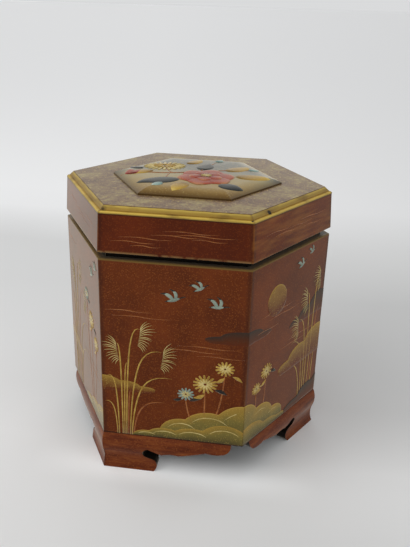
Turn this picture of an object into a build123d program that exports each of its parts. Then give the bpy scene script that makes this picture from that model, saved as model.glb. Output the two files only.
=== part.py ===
from build123d import *
from math import cos, radians, sin
import os

# Hexagonal lidded box on three bracket feet. All sizes are in millimetres.
# The floor under the feet is z = 0, the box's axis is Z, and the front wall faces -Y.

# Body
side = 76.0  # outer width of one wall, corner to corner
wall_height = 101.0
wall_thickness = 4.5
lining_thickness = 3.0
floor_thickness = 5.0
floor_rabbet = 2.5  # how far the floor board reaches into the walls
corner_round = 0.8  # worn upright corners
edge_ease = 0.5  # rim of the walls and lower edge of the lid
collar_ease = 0.8  # lead-in for the lid, on top of the lining

# Lid
lid_gap = 3.4  # shadow gap between the rim of the walls and the lid
lid_clearance = 0.4  # between the collar and the lid sides
lid_side_height = 19.5
lid_overhang = 0.3  # lower edge of the lid past the walls
lid_flare = 1.1  # how far the lid sides lean out towards their lower edge
lid_rabbet = 1.7  # width of the lip of the lid top, inside the lid sides
lid_lip = 1.5  # thickness of that lip

# Gilt moulding along the top edge of the lid
moulding_width = 3.6
moulding_height = 3.6
quirk_depth = 0.25  # small groove between its flat and its bead
quirk_width = 0.4
bead_share = 0.38  # part of the slope that the bead takes
moulding_bead = 0.45  # how far the lower bead swells out

# Raised plaque on the lid
plaque_side = 47.4
plaque_edge = 0.8  # upright edge above the lid top
plaque_crown = 3.2  # rise of the cushion above that edge
plaque_bow = 0.7  # how far its top is domed between the margins
plaque_border = 10.0  # width of its rounded margin
plaque_recess = 1.2
plaque_clearance = 0.25  # dark line around it

# Bracket feet
foot_height = 22.5
arm_thickness = 6.5
arm_shy = 6.0  # the arms stop this far short of the next corner
bulge = 1.2  # ogee: how far the belly stands out
bulge_drop = 6.5  # the belly's height below the walls
knee_bulge = 0.35  # ogee: how far out the belly turns into the hollow
knee_drop = 11.6
toe_flare = 0.6  # the toe's spread at the floor
toe_sole = 27.8  # end of the flat sole, from the foot's corner
toe_length = 29.5
toe_tip = 3.4  # height where its round end reaches furthest
toe_shoulder = 27.4  # where its round end begins, from the foot's corner
toe_top = 6.9
notch_reach = 21.6  # the notch behind the toe, from the foot's corner
notch_drop = 8.2  # top of the notch below the walls
notch_opening = 5.9
notch_width = 3.2  # its round top, from the back of the notch
notch_lip = 1.2
arch_width = 9.6  # shallow arch between the two cusps
arch_rise = 0.9
first_cusp_drop = 11.4
second_cusp_drop = 10.7
run_share = 0.33  # part of the arm's free length before the arch
tip_width = 13.2  # lobe and rounded end of the arm
tip_drop = 6.3
tip_sag = 0.5  # how far the lobe hangs below its ends
tip_round = 5.0
block_leg = 25.5  # glue block's legs along the two arms, behind the notches
block_height = 21.0

FACES = ("front", "front_right", "back_right", "back", "back_left", "front_left")
FACE_TURN = 360 / len(FACES)  # degrees around the axis from one face to the next
HALF_FACE = FACE_TURN / 2
FACE_ANGLES = {name: FACE_TURN * place - 90 for place, name in enumerate(FACES)}
FEET = {
    "front": FACE_ANGLES["front"] - HALF_FACE,
    "right": FACE_ANGLES["front_right"] + HALF_FACE,
    "back": FACE_ANGLES["back"] + HALF_FACE,
}
MIDDLE_OF_BEND = radians(45)  # half of a quarter turn

# Heights and distances that follow from those sizes
apothem = side * cos(radians(HALF_FACE))
rim = foot_height + wall_height
lid_bottom = rim + lid_gap
lid_shoulder = lid_bottom + lid_side_height  # top of the lid sides, under the mouldings
collar_top = lid_shoulder - lid_lip
lid_level = lid_shoulder + moulding_height  # flat top of the lid
lid_inner = wall_thickness - lid_clearance  # inside of the lid sides, behind the wall plane
lid_lean = lid_flare - lid_overhang  # top of the lid sides, behind the wall plane
moulding_back = lid_lean + moulding_width
arm_length = side - arm_shy


def hexagon_radius(inset):
    """Corner radius of a hexagon whose flats lie inset behind the wall plane."""
    return side - inset / cos(radians(HALF_FACE))


def heading(angle):
    """Level unit vector at an angle around the box's axis."""
    return Vector(cos(radians(angle)), sin(radians(angle)), 0)


def mitre(angle, turn):
    """Upright plane through the box's axis, facing the middle of a face."""
    return Plane((0, 0, 0), z_dir=heading(angle + turn))


def cut_mitres(angle):
    """Trims the ring or strip at hand to one face, between the mitres at its two corners."""
    split(bisect_by=mitre(angle, FACE_TURN))
    split(bisect_by=mitre(angle, -FACE_TURN))


def section_plane(angle):
    """Upright plane across a face: x is out of the wall, y is up."""
    outward = heading(angle)
    return Plane(outward * apothem, x_dir=outward, z_dir=outward.cross(Vector(0, 0, 1)))


def make_wall(angle):
    with BuildPart() as wall:
        with BuildSketch(Plane.XY.offset(foot_height)) as outline:
            RegularPolygon(side, len(FACES))
            fillet(outline.vertices(), corner_round)
        extrude(amount=wall_height)
        with BuildSketch(Plane.XY.offset(foot_height)):
            RegularPolygon(hexagon_radius(wall_thickness), len(FACES))
        extrude(amount=wall_height, mode=Mode.SUBTRACT)
        with BuildSketch(Plane.XY.offset(foot_height)):
            RegularPolygon(hexagon_radius(wall_thickness - floor_rabbet), len(FACES))
        extrude(amount=floor_thickness, mode=Mode.SUBTRACT)
        fillet(wall.faces().sort_by(Axis.Z)[-1].outer_wire().edges(), edge_ease)
        cut_mitres(angle)
    return wall.part


def make_lining(angle):
    seat = foot_height + floor_thickness
    with BuildPart() as lining:
        with BuildSketch(Plane.XY.offset(seat)):
            RegularPolygon(hexagon_radius(wall_thickness), len(FACES))
            RegularPolygon(hexagon_radius(wall_thickness + lining_thickness), len(FACES), mode=Mode.SUBTRACT)
        extrude(amount=collar_top - seat)
        cut_mitres(angle)
        top_edges = lining.edges().group_by(Axis.Z)[-1]
        chamfer(top_edges.sort_by(SortBy.LENGTH)[-1], collar_ease)
    return lining.part


def make_floor():
    with BuildPart() as floor_board:
        with BuildSketch(Plane.XY.offset(foot_height)):
            RegularPolygon(hexagon_radius(wall_thickness - floor_rabbet), len(FACES))
        extrude(amount=floor_thickness)
    return floor_board.part


def make_lid_side(angle):
    with BuildPart() as lid_side:
        with BuildSketch(Plane.XY.offset(lid_bottom)) as outline:
            RegularPolygon(hexagon_radius(-lid_overhang), len(FACES))
            fillet(outline.vertices(), corner_round)
        with BuildSketch(Plane.XY.offset(lid_shoulder)) as top_outline:
            RegularPolygon(hexagon_radius(lid_lean), len(FACES))
            fillet(top_outline.vertices(), corner_round)
        loft(ruled=True)
        with BuildSketch(Plane.XY.offset(lid_bottom)):
            RegularPolygon(hexagon_radius(lid_inner), len(FACES))
        extrude(amount=lid_side_height, mode=Mode.SUBTRACT)
        with BuildSketch(Plane.XY.offset(collar_top)):
            RegularPolygon(hexagon_radius(lid_inner - lid_rabbet), len(FACES))
        extrude(amount=lid_lip, mode=Mode.SUBTRACT)
        fillet(lid_side.faces().sort_by(Axis.Z)[0].outer_wire().edges(), edge_ease)
        cut_mitres(angle)
    return lid_side.part


def make_lid_moulding(angle):
    # A flat above and a bead below lie along the 45 degree slope, with a quirk between them.
    back_top = Vector(-moulding_back, lid_level)
    front_foot = Vector(-lid_lean, lid_shoulder)
    slope = front_foot - back_top
    out = Vector(-slope.Y, slope.X).normalized()
    quirk = front_foot - slope * bead_share
    quirk_top = quirk - slope.normalized() * quirk_width / 2
    quirk_foot = quirk + slope.normalized() * quirk_width / 2
    quirk_bottom = quirk - out * quirk_depth
    bead_crown = (quirk_foot + front_foot) / 2 + out * moulding_bead
    with BuildPart() as moulding:
        with BuildSketch(section_plane(angle)):
            with BuildLine():
                Polyline(back_top, quirk_top, quirk_bottom, quirk_foot)
                ThreePointArc(quirk_foot, bead_crown, front_foot)
                Polyline(front_foot, (-moulding_back, lid_shoulder), back_top)
            make_face()
        extrude(amount=side, both=True)
        cut_mitres(angle)
    return moulding.part


def make_lid_top():
    with BuildPart() as lid_top:
        with BuildSketch(Plane.XY.offset(collar_top)):
            RegularPolygon(hexagon_radius(lid_inner - lid_rabbet), len(FACES))
        extrude(amount=lid_lip)
        with BuildSketch(Plane.XY.offset(lid_shoulder)):
            RegularPolygon(hexagon_radius(moulding_back), len(FACES))
        extrude(amount=moulding_height)
        with BuildSketch(Plane.XY.offset(lid_level)):
            RegularPolygon(plaque_side + plaque_clearance / cos(radians(HALF_FACE)), len(FACES))
        extrude(amount=-plaque_recess, mode=Mode.SUBTRACT)
    return lid_top.part


def make_lid_plaque():
    # The cushion is what three pillow sections, each across one pair of flats, have in common.
    half_width = plaque_side * cos(radians(HALF_FACE))
    half_flat = half_width - plaque_border
    seat = lid_level - plaque_recess
    shoulder = lid_level + plaque_edge
    crown = shoulder + plaque_crown
    dome_foot = crown - plaque_bow
    with BuildPart() as plaque:
        for angle in list(FACE_ANGLES.values())[:3]:
            across = heading(angle)
            along = across.cross(Vector(0, 0, 1))
            with BuildSketch(Plane((0, 0, 0), x_dir=across, z_dir=along)):
                with BuildLine():
                    dome = ThreePointArc((-half_flat, dome_foot), (0, crown), (half_flat, dome_foot))
                    TangentArc(dome @ 1, (half_width, shoulder), tangent=dome % 1)
                    TangentArc(dome @ 0, (-half_width, shoulder), tangent=-(dome % 0))
                    Polyline(
                        (half_width, shoulder), (half_width, seat), (-half_width, seat), (-half_width, shoulder)
                    )
                make_face()
            mode = Mode.INTERSECT if plaque.solids() else Mode.ADD
            extrude(amount=2 * plaque_side, both=True, mode=mode)
    return plaque.part


def make_foot_arm(corner_angle, hand):
    """One arm of a foot: hand is 1 for the arm to the right of the corner, -1 for the left one."""
    angle = corner_angle + hand * HALF_FACE
    along = heading(angle + hand * 90)
    outline_plane = Plane(
        heading(corner_angle) * side, x_dir=along, z_dir=along.cross(Vector(0, 0, 1))
    )
    margin = side - arm_length  # past the corner, where the mitre trims it
    notch_top = Vector(notch_reach + notch_width, foot_height - notch_drop)
    notch_back = Vector(notch_reach, notch_top.Y - notch_opening / 2)
    notch_foot = Vector(notch_reach + notch_lip, notch_top.Y - notch_opening)
    tip_start = Vector(arm_length - tip_width, foot_height - tip_drop)
    free_length = tip_start.X - arch_width - notch_top.X
    first_cusp = Vector(notch_top.X + run_share * free_length, foot_height - first_cusp_drop)
    second_cusp = Vector(first_cusp.X + arch_width, foot_height - second_cusp_drop)
    arch_crown = (first_cusp + second_cusp) / 2 + Vector(0, arch_rise)
    tip_end = Vector(arm_length - tip_round, foot_height - tip_drop)
    lobe = (tip_start + tip_end) / 2 - Vector(0, tip_sag)
    tip_corner = Vector(arm_length, foot_height)
    tip_bend = tip_corner - Vector(tip_round * (1 - cos(MIDDLE_OF_BEND)), tip_drop * sin(MIDDLE_OF_BEND))
    with BuildPart() as arm:
        with BuildSketch(section_plane(angle)):
            with BuildLine():
                belly = ThreePointArc(
                    (0, foot_height),
                    (bulge, foot_height - bulge_drop),
                    (knee_bulge, foot_height - knee_drop),
                )
                TangentArc(belly @ 1, (toe_flare, 0), tangent=belly % 1)
                Polyline(
                    (toe_flare, 0), (-arm_thickness, 0), (-arm_thickness, foot_height), (0, foot_height)
                )
            make_face()
        extrude(amount=2 * side, both=True)
        with BuildSketch(outline_plane):
            with BuildLine():
                Polyline((arm_length, foot_height), (-margin, foot_height), (-margin, 0), (toe_sole, 0))
                ThreePointArc((toe_sole, 0), (toe_length, toe_tip), (toe_shoulder, toe_top))
                Line((toe_shoulder, toe_top), notch_foot)
                ThreePointArc(notch_foot, notch_back, notch_top)
                Line(notch_top, first_cusp)
                ThreePointArc(first_cusp, arch_crown, second_cusp)
                Line(second_cusp, tip_start)
                ThreePointArc(tip_start, lobe, tip_end)
                ThreePointArc(tip_end, tip_bend, tip_corner)
            make_face()
        extrude(amount=side, both=True, mode=Mode.INTERSECT)
        split(bisect_by=mitre(angle, hand * FACE_TURN))
    return arm.part


def make_foot_block(corner_angle):
    inner_corner = heading(corner_angle) * hexagon_radius(arm_thickness)
    right_end = inner_corner + heading(corner_angle + 180 - FACE_TURN) * block_leg
    left_end = inner_corner + heading(corner_angle - 180 + FACE_TURN) * block_leg
    with BuildPart() as block:
        with BuildSketch(Plane.XY.offset(foot_height - block_height)):
            with BuildLine():
                Polyline(inner_corner, right_end, left_end, close=True)
            make_face()
        extrude(amount=block_height)
    return block.part


def write(part, name):
    part.label = name
    export_step(part, f"parts/{name}.step")
    print(name, round(part.volume), "mm3")


os.makedirs("parts", exist_ok=True)

write(make_floor(), "floor")
write(make_lid_top(), "lid_top")
write(make_lid_plaque(), "lid_plaque")
for face, face_angle in FACE_ANGLES.items():
    write(make_wall(face_angle), f"wall_{face}")
    write(make_lining(face_angle), f"lining_{face}")
    write(make_lid_side(face_angle), f"lid_side_{face}")
    write(make_lid_moulding(face_angle), f"lid_moulding_{face}")
for foot, foot_angle in FEET.items():
    write(make_foot_arm(foot_angle, 1), f"foot_{foot}_arm_right")
    write(make_foot_arm(foot_angle, -1), f"foot_{foot}_arm_left")
    write(make_foot_block(foot_angle), f"foot_{foot}_block")
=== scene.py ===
# %% [markdown]
# # A hexagonal lacquer box
#
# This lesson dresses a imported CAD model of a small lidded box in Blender. The real box is wood under many
# coats of brown lacquer, sprinkled with gold, with a gilt moulding around the lid, a cushion-shaped plaque
# on top and three fretted bracket feet. The CAD solids already have the right shape, so most steps give
# them a finish, and a few add what only a brush or years of handling would add.

# %% Load the frame
import random
from functools import partial
from math import cos, pi, radians, sin, sqrt, tan, tau

import bmesh
import bpy
from mathutils import Matrix, Vector
from mathutils.bvhtree import BVHTree


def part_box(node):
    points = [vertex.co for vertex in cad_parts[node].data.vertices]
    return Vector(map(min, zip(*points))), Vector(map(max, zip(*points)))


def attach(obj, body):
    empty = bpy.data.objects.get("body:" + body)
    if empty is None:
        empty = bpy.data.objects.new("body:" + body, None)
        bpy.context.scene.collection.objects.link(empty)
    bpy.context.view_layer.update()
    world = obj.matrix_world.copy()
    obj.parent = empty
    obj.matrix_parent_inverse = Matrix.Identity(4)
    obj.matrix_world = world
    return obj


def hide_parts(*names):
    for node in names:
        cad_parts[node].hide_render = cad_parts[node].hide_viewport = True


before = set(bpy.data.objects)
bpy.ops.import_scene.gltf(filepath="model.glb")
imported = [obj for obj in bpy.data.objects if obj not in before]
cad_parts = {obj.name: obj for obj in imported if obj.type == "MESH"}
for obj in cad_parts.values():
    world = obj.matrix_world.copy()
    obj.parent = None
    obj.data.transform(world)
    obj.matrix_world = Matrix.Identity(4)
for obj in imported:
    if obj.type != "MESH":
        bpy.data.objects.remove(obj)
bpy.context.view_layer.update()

MM = 0.001  # the scene is in metres, and the lesson's sizes are in millimetres

# %% [markdown]
# ## Camera
#
# The photograph looks slightly down on the box from a little to the right of its front. Its corners give
# the camera: azimuth, elevation, roll, distance, and the focal length in pixels of a picture 410 wide and
# 547 tall. Blender's sensor lies along the longer side, so the lens follows from the picture's height. The
# camera could be aimed by hand. Here matrices turn it around the box, raise it, tip it, roll it and draw it
# back.

# %% Camera
PICTURE_HEIGHT = 547
FOCAL_PIXELS = 665.6
CAMERA_AZIMUTH = radians(7.5)
CAMERA_ELEVATION = radians(22.1)
CAMERA_ROLL = radians(1.76)
CAMERA_DISTANCE = 393.2 * MM
TARGET_HEIGHT = 92.9 * MM
TARGET_ASIDE = 6.4 * MM

camera = bpy.data.objects.new("camera", bpy.data.cameras.new("camera"))
bpy.context.collection.objects.link(camera)
camera.data.lens = camera.data.sensor_width * FOCAL_PIXELS / PICTURE_HEIGHT
camera.data.clip_start = 0.01
camera.matrix_world = (
    Matrix.Rotation(CAMERA_AZIMUTH, 4, "Z") @ Matrix.Translation((TARGET_ASIDE, 0, TARGET_HEIGHT))
    @ Matrix.Rotation(pi / 2 - CAMERA_ELEVATION, 4, "X") @ Matrix.Rotation(CAMERA_ROLL, 4, "Z")
    @ Matrix.Translation((0, 0, CAMERA_DISTANCE)))
bpy.context.scene.camera = camera
print("lens in mm:", round(camera.data.lens, 2))

# %% [markdown]
# ## Colours and nodes
#
# A colour is written as a hex value, as it looks on a screen, and turned to the linear light that shaders
# count in. Nodes could be added and linked by hand in the editor. Here one small function adds a node, sets
# its values and links its sockets. A list gives the sockets in their order: a noise is its place, scale,
# detail and roughness, and a range is its value, where it begins and ends, and what it gives at each end.
# Two more functions open a material and close it with its shader.


# %% Colours and nodes
def colour(code):
    """Linear RGBA of an sRGB hex colour."""
    parts = [int(code[i:i + 2], 16) / 255 for i in (1, 3, 5)]
    return [p / 12.92 if p <= 0.04045 else ((p + 0.055) / 1.055) ** 2.4 for p in parts] + [1.0]


def add_node(tree, kind, sockets=(), stops=(), **settings):
    """Adds a node. Its sockets, by name or in order, get a value, a hex colour, a node or an output."""
    made = tree.nodes.new("ShaderNode" + kind)
    if kind == "Mix":
        made.data_type = "RGBA"  # the box's finishes mix nothing but colours
    for name, value in settings.items():
        setattr(made, name, value)
    for name, value in sockets.items() if isinstance(sockets, dict) else enumerate(sockets):
        usable = [s for s in made.inputs if s.enabled]
        socket = usable[name] if isinstance(name, int) else next(s for s in usable if s.name == name)
        if isinstance(value, str):
            value = colour(value)
        if isinstance(value, bpy.types.Node):
            value = next(s for s in value.outputs if s.enabled)
        if isinstance(value, bpy.types.NodeSocket):
            tree.links.new(value, socket)
        else:
            socket.default_value = value
    for count, (at, code) in enumerate(stops):
        ramp = made.color_ramp.elements
        stop = ramp[count] if count < len(ramp) else ramp.new(1.0)
        stop.position = at
        stop.color = colour(code)
    return made


def new_finish(name):
    """A material, what adds nodes to it, and the place on the box."""
    made = bpy.data.materials.new(name)
    made.use_nodes = True
    made.node_tree.nodes.clear()
    print("finish:", name)
    add = partial(add_node, made.node_tree)
    return made, add, add("TexCoord").outputs["Object"]


def shade(add, sockets):
    """Closes a material with its shader."""
    add("OutputMaterial", [add("BsdfPrincipled", sockets)])


# %% [markdown]
# ## Floor and light
#
# The box stands on pale paper under soft light from all round, with a broad lamp at the left that leaves a
# weak shadow at the right. The paper's tones paint more light and shade: it is greyer behind the box and at
# its right, a painted shadow of the box, and pale again far away, more so at the left. One ramp gives its
# tones from near to far at the left and one at the right. A weak glow that only the eye and mirrors see
# lifts the far paper and the shadow under the front edge, so the light on the box stays plain.

# %% Paper
PAPER_REACH = 60.0  # metres from the box to the edge of the paper
bpy.ops.mesh.primitive_plane_add(size=2 * PAPER_REACH)
paper = bpy.context.object
paper.name = "stage_paper"
print("paper reaches, in metres:", PAPER_REACH)

# %% Tones of the paper
matt_paper, add, place = new_finish("matt_paper")
x, y, z = add("SeparateXYZ", [place]).outputs
fibres = add("TexNoise", [place, 4.0])
uneven = add("Math", [fibres, 0.06, y], operation="MULTIPLY_ADD")
depth = add("MapRange", [uneven, -0.17, 0.53])
# Painted light and shade on the paper: greyer behind the box and at its right, the box's shadow, and pale
# far off.
left_paper_light_and_shade = add("ValToRGB", [depth], stops=[
    (0.0, "#f8f8f8"), (0.1, "#eaeae9"), (0.22, "#f4f4f3"), (0.3, "#ececeb"), (0.4, "#e7e7e6"),
    (0.55, "#e1e1e0"), (0.69, "#e1e1e0"), (0.86, "#f8f8f8")])
right_paper_light_and_shade = add("ValToRGB", [depth], stops=[
    (0.0, "#f8f8f8"), (0.1, "#dcdcdb"), (0.22, "#f2f2f1"), (0.3, "#dededd"), (0.45, "#d4d4d3"),
    (0.55, "#d2d2d1"), (0.72, "#e2e2e1"), (0.95, "#f1f1f1")])
from_viewer = add("Math", [y, 0.36], operation="ADD")
before_viewer = add("Math", [from_viewer, 0.2], operation="MAXIMUM")
bearing = add("Math", [x, before_viewer], operation="DIVIDE")
rightward = add("MapRange", [bearing, -0.2, 0.25])
banded = add("Mix", [rightward, left_paper_light_and_shade, right_paper_light_and_shade])
off_line = add("Math", [bearing], operation="ABSOLUTE")
in_line = add("MapRange", [off_line, 1.3, 0.55])
tint = add("Mix", [in_line, "#f4f4f3", banded])

# %% Glow of the paper
far = add("MapRange", [y, 0.3, 0.5, 0.0, in_line])
far_share = add("MapRange", [rightward, 0.0, 1.0, 0.06, 0.03])
far_glow = add("Math", [far, far_share], operation="MULTIPLY")
# Painted light: a glow that lifts the shadow under the front edge of the box.
aside = add("Math", [x], operation="ABSOLUTE")
at_front = add("MapRange", [aside, 0.08, 0.02, 0.0, 0.18])
in_front = add("MapRange", [y, -0.083, -0.064, 0.0, at_front], interpolation_type="SMOOTHSTEP")
under_front = add("MapRange", [y, -0.046, -0.064, 0.0, in_front], interpolation_type="SMOOTHSTEP")
both_glows = add("Math", [under_front, far_glow], operation="ADD")
ray = add("LightPath")
seen = add("Math", [ray.outputs["Is Camera Ray"], ray.outputs["Is Glossy Ray"]], operation="MAXIMUM")
glow = add("Math", [seen, both_glows], operation="MULTIPLY")
shade(add, {"Base Color": tint, "Roughness": 0.9, "Emission Color": "#ffffff", "Emission Strength": glow})
paper.data.materials.append(matt_paper)
print("paper has", len(matt_paper.node_tree.nodes), "nodes")

# %% Light
world = bpy.data.worlds.new("studio")
bpy.context.scene.world = world
world.use_nodes = True
backdrop = world.node_tree.nodes["Background"].inputs
backdrop["Color"].default_value = colour("#f0f1f2")
backdrop["Strength"].default_value = 0.8

lamp = bpy.data.lights.new("broad_lamp", "AREA")
lamp.size = 0.7
lamp.energy = 2.6
lamp_stand = bpy.data.objects.new("broad_lamp", lamp)
lamp_stand.location = (-0.62, -0.3, 0.8)
lamp_aim = Vector((0, 0, 0.08)) - lamp_stand.location
lamp_stand.rotation_euler = lamp_aim.to_track_quat("-Z", "Y").to_euler()
bpy.context.collection.objects.link(lamp_stand)

bpy.context.scene.view_settings.view_transform = "Standard"
print("stage:", paper.name, lamp_stand.name)

# %% [markdown]
# ## Polished lacquer
#
# Old polished lacquer is dark when it is faced and goes milky at a grazing look, where fine scratches and
# dust catch the light. A thick clear coat alone would mirror the room too hard, so the coat here is thin
# and a warm sheen gives the milky look. Every lacquered finish of the box shares these numbers, and the
# slow waves that a hand-polished coat keeps.

# %% Polished lacquer
LACQUER_GLOSS = {
    "Roughness": 0.5,
    "Specular IOR Level": 0.0,
    "Coat Weight": 1.0,
    "Coat IOR": 1.2,
    "Coat Roughness": 0.2,
    "Sheen Weight": 0.6,
    "Sheen Roughness": 0.3,
    "Sheen Tint": "#fff0d2",
}
POLISH_WAVE = 5.0  # mm from crest to crest


def lacquer(add, place, body, milky=0.64):
    """Closes a lacquer of any colour. Milky is how far it pales at a grazing look."""
    waves = add("TexNoise", [place, 1 / (POLISH_WAVE * MM), 2.0])
    bump = add("Bump", {"Height": waves, "Strength": 0.08, "Distance": 0.3 * MM})
    shade(add, {**LACQUER_GLOSS, "Base Color": body, "Coat Normal": bump, "Sheen Weight": milky})


# %% Flakes and patches
def sprinkle(add, place, ground, gold, flake, share):
    """Gold flakes over a ground: flake is their size in mm, share the part of them that shows."""
    cells = add("TexVoronoi", [place, 1 / (flake * MM)])
    pick = add("SeparateColor", [cells.outputs["Color"]])
    shown = add("MapRange", [pick, 1 - share, 1.0])
    flakes = add("MapRange", [cells, 0.55, 0.15, 0.0, shown])
    return add("Mix", [flakes, ground, gold])


def patchy(add, place, size, start, full, least=0.0, most=1.0, detail=4.0, roughness=0.5):
    """Soft patches, of a size in mm: a noise that shows from one level and is whole at another."""
    noise = add("TexNoise", [place, 1 / (size * MM), detail, roughness])
    return add("MapRange", [noise, start, full, least, most])


# %% Finishes on the CAD nodes
def dress(starts, finish):
    """Gives the CAD nodes whose names start so a finish."""
    chosen = [node for name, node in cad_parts.items() if name.startswith(starts)]
    for node in chosen:
        node.data.materials.clear()
        node.data.materials.append(finish)
    print(finish.name, "on", len(chosen), "nodes")


# %% [markdown]
# ## Places on the faces
#
# The box has six like faces. What is drawn or worn on one is easiest to place in millimetres from the lower
# left corner of that face, seen from outside, so one matrix turns those into the scene: across, up and out.

# %% Places on the faces
FACE_ANGLES = {  # degrees around the axis
    "front": 270, "front_right": 330, "back_right": 30, "back": 90, "back_left": 150, "front_left": 210}
HALF_FACE = 30  # degrees from the middle of a face to its corner
APOTHEM = -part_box("wall_front")[0].y
SIDE = 2 * APOTHEM * tan(radians(HALF_FACE))
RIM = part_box("wall_front")[1].z
LID_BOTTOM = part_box("lid_side_front")[0].z
LID_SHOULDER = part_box("lid_side_front")[1].z
FOOT_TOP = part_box("wall_front")[0].z


def face_place(face, reach, foot, slope=0.0):
    """From millimetres on a face to the scene. Slope is how far the face leans in per unit of height."""
    angle = radians(FACE_ANGLES[face])
    out = Vector((cos(angle), sin(angle), 0))
    across = Vector((-sin(angle), cos(angle), 0))
    upward = (Vector((0, 0, 1)) - out * slope).normalized()
    corner = out * reach + Vector((0, 0, foot)) - across * SIDE / 2
    turn = Matrix((across, upward, across.cross(upward))).transposed().to_4x4()
    return Matrix.Translation(corner) @ turn @ Matrix.Scale(MM, 4)


print("side of the hexagon in mm:", round(SIDE / MM, 2))

# %% [markdown]
# ## Sprinkled lacquer on the walls and the lid sides
#
# Gold flakes are sprinkled on wet brown lacquer, covered with clear coats and polished. Real flakes are a
# few tenths of a millimetre, too fine for the picture, so they are drawn 0.7 mm apart. The ground varies in
# slow clouds.

# %% Sprinkled lacquer
wall_lacquer, add, place = new_finish("sprinkled_lacquer_polished")
clouds = add("TexNoise", [place, 1 / (22 * MM), 4.0])
ground = add("ValToRGB", [clouds], stops=[(0.3, "#532206"), (0.7, "#6e310c")])
flaked = sprinkle(add, place, ground, "#86491a", flake=0.7, share=0.8)

# %% [markdown]
# The wood's upright corners have worn to a thin tan line, the rim under the lid is a dull olive gold at its
# outer edge and dark inward, which is painted shade under the lid, and the lower edge of the lid is rubbed
# pale. The lid is a little darker than the walls, but for its right side, which has faded in streaks. Wear
# could be painted by hand. Here it is worked out from the place on the box, because the CAD mesh stays as it
# is: the angle around the axis says how far the next corner is, and the distance from the axis tells the
# outer edge of the rim from its inner part and the outside of the lid from its black inside.

# %% Worn corners
x, y, z = add("SeparateXYZ", [place]).outputs
on_lid = add("Math", [z, (RIM + LID_BOTTOM) / 2], operation="GREATER_THAN")
around = add("Math", [y, x], operation="ARCTAN2")
off_corner = add("Math", [around, radians(HALF_FACE)], operation="PINGPONG")
patches = add("TexNoise", [place, 1 / (4 * MM), 4.0])
beside_corner = add("MapRange", [off_corner, radians(1.9), radians(0.7), 0.0, 0.5])
lined = add("Mix", [beside_corner, flaked, "#32150a"])
rubbed = patchy(add, place, 26, start=0.42, full=0.66, least=0.05, most=0.6, detail=5.0, roughness=0.7)
corner_line = add("MapRange", [off_corner, radians(0.45), radians(0.1), 0.0, rubbed])
held = add("MapRange", [on_lid, 0.0, 1.0, 0.45, 1.0])
corner_wear = add("Math", [corner_line, held], operation="MULTIPLY")
edged = add("Mix", [corner_wear, lined, "#a87446"])
print("degrees from corner to corner:", 2 * HALF_FACE)

# %% Rim
level_place = add("VectorMath", [place, (1, 1, 0)], operation="MULTIPLY")
from_axis = add("VectorMath", [level_place], operation="LENGTH")
off_middle = add("Math", [radians(HALF_FACE), off_corner], operation="SUBTRACT")
facing = add("Math", [off_middle], operation="COSINE")
outward = add("Math", [from_axis, facing], operation="MULTIPLY")
below_rim = add("MapRange", [z, RIM - 0.9 * MM, RIM - 0.4 * MM, 0.0, 0.85])
on_rim = add("Math", [below_rim, on_lid], operation="SUBTRACT", use_clamp=True)
# Painted shade: the inner part of the rim, under the lid, is darker than its olive gold outer edge.
to_edge = add("MapRange", [outward, APOTHEM - 2.3 * MM, APOTHEM - 1.0 * MM])
rim_gold_and_painted_shade = add("Mix", [to_edge, "#33260f", "#725b2c"])
rimmed = add("Mix", [on_rim, edged, rim_gold_and_painted_shade])
print("height of the rim in mm:", round(RIM / MM, 1))

# %% Lid edge and faded side
edge_rubbed = add("MapRange", [patches, 0.34, 0.56, 0.0, 0.8])
edge_wear = add("MapRange", [z, LID_BOTTOM + 1.4 * MM, LID_BOTTOM + 0.5 * MM, 0.0, edge_rubbed])
rightward = add("MapRange", [x, -SIDE / 2, SIDE / 2])
faded_lid = add("MapRange", [rightward, 0.98, 1.0, 0.0, on_lid])
lid_share = add("Math", [faded_lid, -0.75, on_lid], operation="MULTIPLY_ADD")
lid_wear = add("Math", [edge_wear, lid_share], operation="MULTIPLY")
lid_tint = add("ValToRGB", [rightward], stops=[
    (0.1, "#e6cab2"), (0.95, "#d0b49c"), (1.0, "#f8ecd4")])
lid_shade = add("Mix", [on_lid, rimmed, lid_tint], blend_type="MULTIPLY")
lengthways = add("Mapping", {"Vector": place, "Scale": (1, 1, 7)})
streaks = patchy(add, lengthways, 20, start=0.42, full=0.68, most=0.5)
streaked = add("Math", [faded_lid, streaks], operation="MULTIPLY")
grained = add("Mix", [streaked, lid_shade, "#925a22"])
worn = add("Mix", [lid_wear, grained, "#88683e"])
print("height of the lid's edge in mm:", round(LID_BOTTOM / MM, 1))

# %% Seams, painted shadow under the moulding, and the inside of the lid
chipped = add("Math", [patches, -1.2 * MM, z], operation="MULTIPLY_ADD")
foot_seam = add("MapRange", [chipped, FOOT_TOP + 0.15 * MM, FOOT_TOP - 0.25 * MM, 0.0, 0.8])
# Painted shadow: a dark line along the top of the lid sides, under the moulding's bead.
shadow_under_moulding = add("MapRange", [z, LID_SHOULDER - 0.7 * MM, LID_SHOULDER - 0.1 * MM, 0.0, 0.7])
seams_and_painted_shadow = add("Math", [foot_seam, shadow_under_moulding], operation="MAXIMUM")
inside = add("Math", [outward, APOTHEM - 3.5 * MM], operation="LESS_THAN")
dark = add("Math", [seams_and_painted_shadow, inside], operation="MAXIMUM")
seamed = add("Mix", [dark, worn, "#1c0c06"])
lacquer(add, place, seamed)
dress(("wall_", "lid_side_"), wall_lacquer)

# %% [markdown]
# ## Sprinkled lacquer on the lid top
#
# The lid top has larger flakes and looks mottled with gold. A fine noise and a slow one let more or less of
# a gold haze through the brown, and flakes of two sizes lie over it. Its underside is black like the box's
# inside.

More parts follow.
